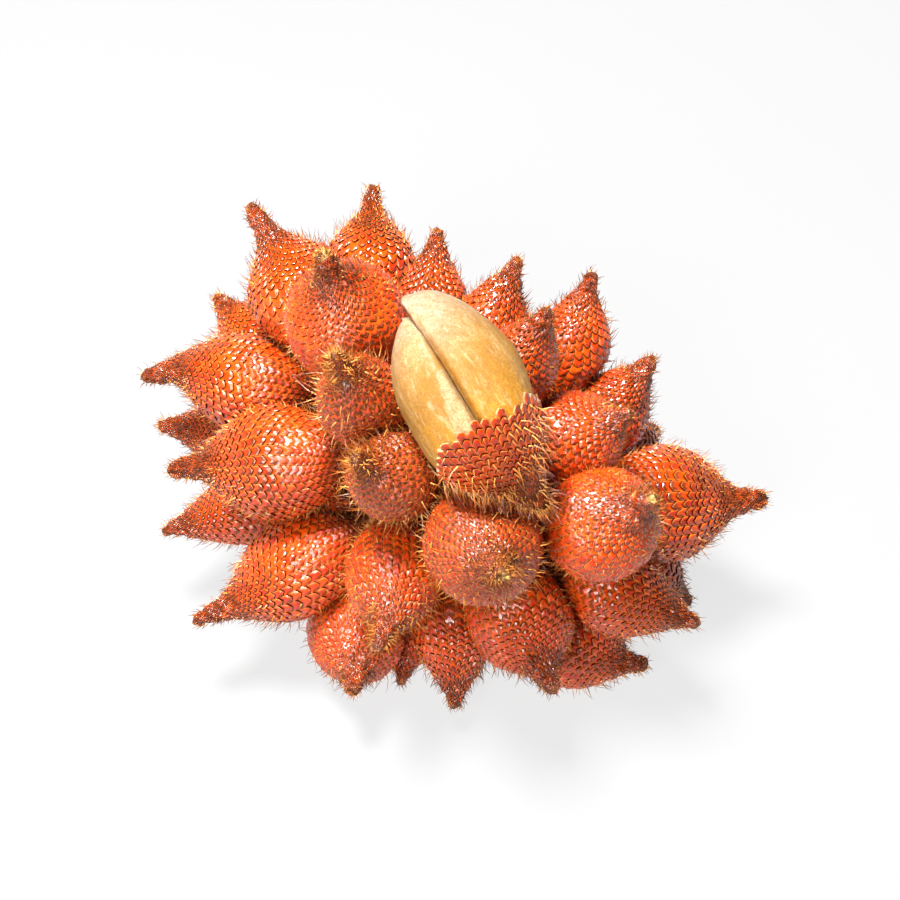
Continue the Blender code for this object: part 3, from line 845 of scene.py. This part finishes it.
class Nodes:
    """Adds and joins the nodes of a new material or world. A value is a number, a colour or what
    another node gives."""

    def __init__(self, name, kind="materials", shader="Principled BSDF"):
        self.owner = getattr(bpy.data, kind).new(name)
        self.owner.use_nodes = True
        self.tree = self.owner.node_tree
        self.shader = self.tree.nodes[shader]

    def join(self, value, socket):
        if isinstance(value, bpy.types.NodeSocket):
            self.tree.links.new(value, socket)
        else:
            socket.default_value = value

    def add(self, kind, values=None, **settings):
        node = self.tree.nodes.new("ShaderNode" + kind)
        for name, setting in settings.items():
            setattr(node, name, setting)
        for name, value in (values or {}).items():
            self.join(value, node.inputs[name])
        return node

    def set(self, **values):
        """Gives the shader's own sockets their values."""
        for name, value in values.items():
            self.join(value, self.shader.inputs[name.replace("_", " ").title().replace("Ior", "IOR")])

    def math(self, operation, *values, clamp=False):
        node = self.add("Math", dict(enumerate(values)), operation=operation, use_clamp=clamp)
        return node.outputs[0]

    def times(self, first, second):
        return self.math("MULTIPLY", first, second)

    def between(self, value, low, high):
        """0 below low, 1 above high and smooth in between; low may be the higher one."""
        values = {"Value": value, "From Min": min(low, high), "From Max": max(low, high),
                  "To Min": float(low > high), "To Max": float(low < high)}
        return self.add("MapRange", values, interpolation_type="SMOOTHSTEP").outputs[0]

    def mix(self, share, first, second, strength=None):
        """The first colour, with a share of the second one, times a strength."""
        if strength:
            share = self.times(share, strength)
        return self.add("Mix", {0: share, 6: first, 7: second}, data_type="RGBA").outputs[2]

    def noise(self, scale, detail=3.0, roughness=0.55, vector=None):
        values = {"Vector": vector or self.place(), "Scale": scale, "Detail": detail}
        return self.add("TexNoise", {**values, "Roughness": roughness}).outputs["Fac"]

    def place(self):
        return self.add("TexCoord").outputs["Object"]

    def value(self, name):
        return self.add("Attribute", attribute_name=name).outputs["Fac"]

    def bump(self, height, distance, strength=1.0, after=None):
        node = self.add("Bump", {"Strength": strength, "Distance": distance, "Height": height})
        if after:
            self.join(after, node.inputs["Normal"])
        return node.outputs["Normal"]


def skin_material():
    n = Nodes("snake_fruit_scales")
    across, row, _ = n.add("SeparateXYZ", {0: n.add("UVMap", uv_map="Scales").outputs[0]}).outputs
    column = n.math("FLOOR", across)
    offset = n.math("ABSOLUTE", n.math("SUBTRACT", n.math("FRACT", across), 0.5))
    stagger = n.times(n.math("MODULO", column, 2.0), 0.5)
    own_row = n.math("SUBTRACT", row, stagger)
    from_tip = n.math("FRACT", own_row)
    fruit = n.times(n.value("fruit"), 97.0)
    scale = n.add("CombineXYZ", {0: column, 1: n.math("FLOOR", own_row), 2: fruit}).outputs[0]
    chance = n.add("TexWhiteNoise", {"Vector": scale}, noise_dimensions="3D").outputs["Color"]
    first, second, third = n.add("SeparateColor", {0: chance}).outputs
    beak = n.value("beak")

    body = n.mix(first, tint(196, 42, 1), tint(232, 83, 5))
    patches = n.between(n.noise(60.0), 0.42, 0.66)
    body = n.mix(patches, body, tint(146, 36, 8), 0.5)
    brown = n.value("brown")
    body = n.mix(brown, body, tint(118, 52, 28), 0.5)

    dry = n.times(n.between(from_tip, 0.62, 0.12), n.between(offset, 0.50, 0.22))
    worn = n.math("ADD", n.between(n.noise(45.0, detail=2.0), 0.38, 0.68), n.times(second, 0.35))
    worn = n.math("ADD", worn, n.times(n.math("ADD", beak, brown), 0.9))
    dry = n.math("MULTIPLY", dry, worn, clamp=True)
    dry_colour = n.mix(third, tint(60, 24, 13), tint(110, 60, 40))
    colour = n.mix(dry, body, dry_colour, 0.85)

    margin = n.times(n.between(offset, 0.36, 0.43), n.between(offset, 0.49, 0.46))
    rim = n.math("MAXIMUM", margin, n.between(from_tip, 0.07, 0.03))
    colour = n.mix(rim, colour, tint(222, 132, 50), 0.55)
    # Painted shade: the grooves between the columns and the crevice under each free tip are darkened, on
    # top of the shade that the relief itself casts.
    painted_groove_shade = n.math("MAXIMUM", n.between(offset, 0.45, 0.49), n.between(from_tip, 0.67, 0.90))
    colour = n.mix(painted_groove_shade, colour, tint(34, 8, 4), 0.9)
    # The root end is painted darker: painted shade where the fruits crowd round the stalk, over the skin's
    # somewhat darker base.
    colour = n.mix(n.value("root"), colour, tint(50, 13, 6), 0.75)
    clumps = n.between(n.noise(420.0, detail=4.0), 0.42, 0.54)
    near_tip = n.between(beak, 0.30, 1.0)
    darkened = n.times(near_tip, n.math("MULTIPLY_ADD", clumps, 0.68, 0.08))
    colour = n.mix(darkened, colour, tint(74, 25, 11))
    edged = n.times(n.times(near_tip, rim), 0.5)
    colour = n.mix(edged, colour, tint(204, 116, 50))
    straw = n.mix(clumps, tint(242, 208, 122), tint(186, 122, 46))
    frayed = n.times(n.value("tuft"), n.math("MULTIPLY_ADD", clumps, -0.55, 1.0))
    colour = n.mix(frayed, colour, straw)
    n.set(base_color=colour, roughness=n.math("MULTIPLY_ADD", n.noise(900.0), 0.20, 0.16))
    n.set(specular_ior_level=0.32, coat_weight=0.5, coat_roughness=0.10)

    crown = n.times(n.between(offset, 0.5, 0.1), n.between(from_tip, 1.0, 0.0))
    relief = n.bump(crown, 0.5 * MM, 1.0)
    n.set(normal=n.bump(n.noise(1500.0, detail=4.0, roughness=0.7), 0.12 * MM, 0.55, relief))
    return n.owner


def spine_material():
    n = Nodes("snake_fruit_spines")
    along = n.value("along_spine")
    colour = n.mix(n.between(along, 0.0, 0.6), tint(226, 168, 82), tint(196, 102, 26))
    colour = n.mix(n.between(along, 0.4, 0.9), colour, tint(84, 32, 10))
    darker = n.between(n.noise(220.0), 0.46, 0.60)
    colour = n.mix(darker, colour, tint(96, 38, 12), 0.8)
    n.set(base_color=colour, roughness=0.42)
    return n.owner


def flesh_material(length):
    """Pale at the top of the fruit and amber at its bottom, with fibres along its length."""
    n = Nodes("snake_fruit_flesh")
    depth, wedge = n.value("depth"), n.value("wedge")
    turn = Vector(length).to_track_quat("Z", "Y").to_euler()
    values = {"Vector": n.place(), "Rotation": turn, "Scale": (1.0, 1.0, 3.5)}
    along = n.add("Mapping", values, vector_type="TEXTURE").outputs["Vector"]

    pale, golden, amber = tint(160, 145, 124), tint(155, 110, 41), tint(236, 162, 16)
    colour = n.mix(n.between(depth, 0.0, 0.35), pale, golden)
    colour = n.mix(n.between(depth, 0.35, 0.95), colour, amber)
    cloudy = n.between(n.noise(110.0, detail=5.0, roughness=0.65, vector=along), 0.44, 0.66)
    colour = n.mix(cloudy, colour, tint(176, 150, 98), 0.55)
    colour = n.mix(wedge, colour, tint(180, 160, 120), 0.8)
    for scale, strength in ((420.0, 0.38), (1500.0, 0.55)):
        mottled = n.between(n.noise(scale, detail=5.0, roughness=0.7), 0.42, 0.60)
        colour = n.mix(mottled, colour, tint(136, 86, 26), strength)
    line = n.between(n.value("seam"), 0.55, 0.95)
    colour = n.mix(line, colour, tint(110, 54, 22), 0.8)
    for scale, strength in ((300.0, 0.45), (700.0, 0.35)):
        streaks = n.between(n.noise(scale, detail=6.0, roughness=0.7, vector=along), 0.55, 0.70)
        colour = n.mix(streaks, colour, tint(200, 184, 150), strength)
    n.set(base_color=colour, roughness=n.math("MULTIPLY_ADD", n.noise(300.0), 0.2, 0.45))
    n.set(specular_ior_level=0.3)
    n.set(subsurface_weight=0.15, subsurface_radius=(1.0, 0.55, 0.25), subsurface_scale=3 * MM)
    n.set(normal=n.bump(n.noise(260.0, detail=6.0, roughness=0.65, vector=along), 0.5 * MM, 0.7))
    return n.owner


def membrane_material():
    n = Nodes("peel_inside")
    colour = n.mix(n.between(n.noise(240.0), 0.4, 0.7), tint(184, 150, 104), tint(122, 68, 34))
    n.set(base_color=colour, roughness=0.6)
    n.set(normal=n.bump(n.noise(900.0), 0.15 * MM, 0.5))
    return n.owner


def wood_and_shade_material():
    n = Nodes("woody_stalk")
    stretched = n.add("Mapping", {"Vector": n.place(), "Scale": (1.0, 1.0, 0.25)}).outputs[0]
    fibres = n.noise(700.0, detail=6.0, vector=stretched)
    # Dark brown, darker than the wood itself: painted shade, since this colours the stalk and the fibre mat
    # that fill the shaded gaps between the fruits.
    colour = n.mix(n.between(fibres, 0.35, 0.65), tint(22, 11, 6), tint(66, 38, 22))
    n.set(base_color=colour, roughness=0.9, specular_ior_level=0.2)
    n.set(normal=n.bump(fibres, 0.5 * MM, 0.8))
    return n.owner


def floor_material():
    n = Nodes("floor")
    colour = n.mix(n.noise(3.0), tint(76, 76, 76), tint(80, 80, 80))
    n.set(base_color=colour, roughness=0.9, specular_ior_level=0.1)
    n.set(emission_color=(1.0, 1.0, 1.0, 1.0), emission_strength=0.76)
    return n.owner


SKIN = skin_material()
SPINE = spine_material()
MEMBRANE = membrane_material()
WOOD_AND_SHADE = wood_and_shade_material()


# ---- the scene around the object

def add_floor():
    mesh = bpy.data.meshes.new("floor")
    corners = [(x * FLOOR_HALF, y * FLOOR_HALF, 0) for x, y in ((-1, -1), (1, -1), (1, 1), (-1, 1))]
    mesh.from_pydata(corners, [], [(0, 1, 2, 3)])
    mesh.materials.append(floor_material())
    new_object(mesh)


def aim(data, place, target):
    """Puts a lamp or a camera at a place and turns it to a target."""
    aimed = new_object(data)
    aimed.location = place
    aimed.rotation_mode = "QUATERNION"
    aimed.rotation_quaternion = (target - Vector(place)).to_track_quat("-Z", "Y")
    return aimed


def add_lights():
    for name, (place, size, power) in LIGHTS.items():
        lamp = bpy.data.lights.new(name, "AREA")
        lamp.shape = "DISK"
        lamp.size = size
        lamp.energy = power
        aim(lamp, place, bunch_middle)


def add_world():
    """A pale backdrop round the horizon under a dim ceiling."""
    n = Nodes("studio", "worlds", "Background")
    height = n.add("SeparateXYZ", {0: n.add("TexCoord").outputs["Generated"]}).outputs["Z"]
    values = {"Value": height, "From Min": BACKDROP_TOP, "From Max": CEILING_START,
              "To Min": BACKDROP_BRIGHTNESS, "To Max": CEILING_BRIGHTNESS}
    brightness = n.add("MapRange", values, interpolation_type="SMOOTHSTEP").outputs[0]
    n.set(color=(1.0, 1.0, 1.0, 1.0), strength=brightness)
    bpy.context.scene.world = n.owner


def add_camera():
    target = bunch_middle + FRAMING
    elevation = math.radians(CAMERA_ELEVATION)
    back = Vector((0.0, -math.cos(elevation), math.sin(elevation)))
    data = bpy.data.cameras.new("camera")
    data.lens = CAMERA_LENS
    bpy.context.scene.camera = aim(data, target + back * CAMERA_DISTANCE, target)


# ---- the bunch

def main():
    middle = node_middle("stalk")
    for number, node in enumerate(fruits):
        whole_fruit(node, middle, 100 + number)
    torn_cup(90)
    top, bottom = flesh_line()
    flesh = flesh_material(bottom - top)
    for number, node in enumerate(LOBES):
        flesh_lobe(node, top, bottom, flesh, 70 + 2 * number)
    woody_stalk()
    shade_fibre_mat()
    add_floor()
    add_world()
    add_lights()
    add_camera()
    bpy.context.scene.view_settings.view_transform = "Standard"


main()
